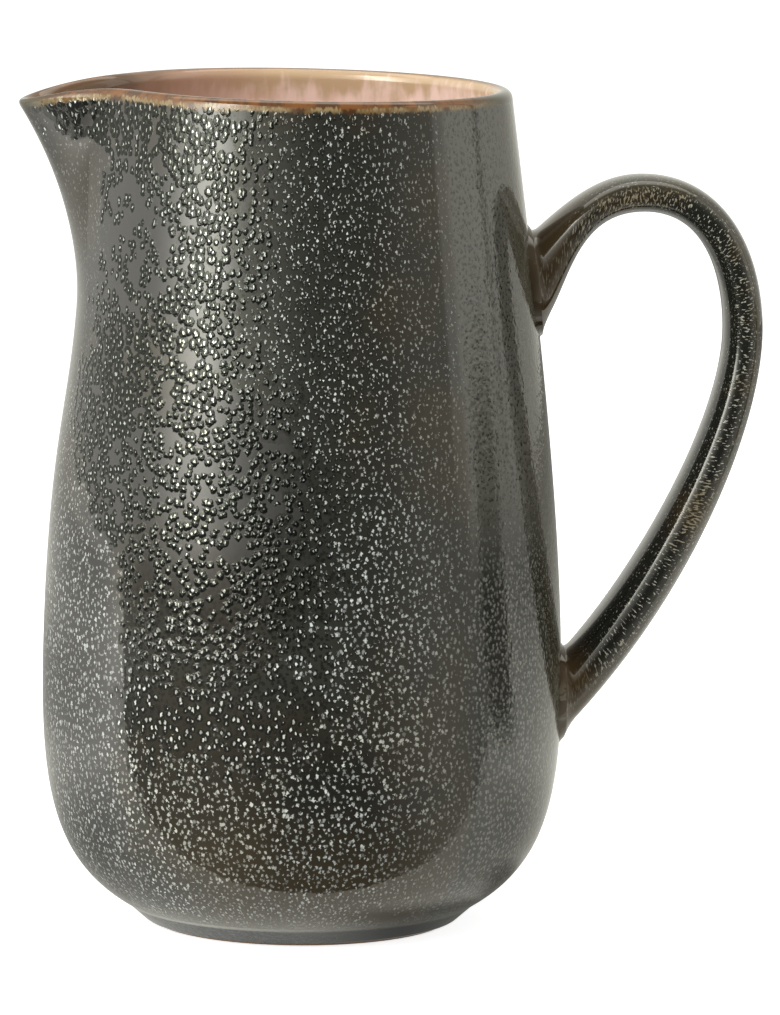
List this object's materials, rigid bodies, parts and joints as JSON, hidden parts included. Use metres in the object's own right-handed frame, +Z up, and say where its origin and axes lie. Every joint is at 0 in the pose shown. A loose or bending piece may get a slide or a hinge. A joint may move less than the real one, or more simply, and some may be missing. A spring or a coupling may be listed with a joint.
{
  "type": "jug",
  "caption": "Tall stoneware pouring jug with a pulled spout, a strap handle and a low foot ring, dark speckled glaze outside, pink glaze inside and an amber lip.",
  "frame": {"origin": "on the plane that the jug stands on, under the middle of its overall length from spout tip to handle", "axes": "+Z up, +X towards the handle, -X towards the spout, +Y across"},
  "size_m": [0.1746, 0.1228, 0.1996],
  "materials": {
    "stoneware": "bare fired clay, matt, seen only under the foot",
    "slip": "fired luting slip, matt, covered by glaze",
    "dark_glaze": "glossy charcoal reactive glaze with off-white specks",
    "amber_glaze": "glossy amber where the glaze runs thin over the lip",
    "pink_glaze": "glossy pale pink with tan runs below the rim"
  },
  "bodies": {
    "root": {"stoneware_body": "stoneware", "stoneware_handle": "stoneware", "upper_handle_slip": "slip", "lower_handle_slip": "slip", "outside_glaze": "dark_glaze", "handle_glaze": "dark_glaze", "rim_glaze": "amber_glaze", "inside_glaze": "pink_glaze", "base_glaze": "dark_glaze"}
  },
  "joints": []
}
